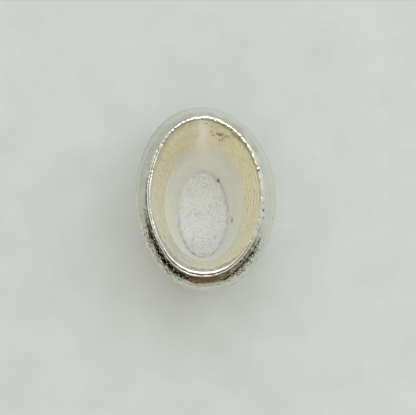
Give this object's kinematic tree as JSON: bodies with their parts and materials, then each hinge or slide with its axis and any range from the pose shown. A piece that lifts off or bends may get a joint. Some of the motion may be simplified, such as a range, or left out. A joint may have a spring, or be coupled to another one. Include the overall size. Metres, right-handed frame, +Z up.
{
  "type": "bezel cup setting",
  "caption": "Cast oval bezel cup with a thin lip, a rounded shoulder, a sloping bearing for a stone, a frosted closed floor and a flat base for soldering.",
  "frame": {"origin": "middle of the flat base, on the surface that the cup stands on", "axes": "+Z up through the open mouth, Y along the oval's length, X across it"},
  "size_m": [0.013, 0.018, 0.0063],
  "materials": {
    "sterling_silver": "polished outside and on the lip, satin inside, frosted as cast on the floor"
  },
  "bodies": {
    "root": {"bezel_cup": "sterling_silver"}
  },
  "joints": []
}
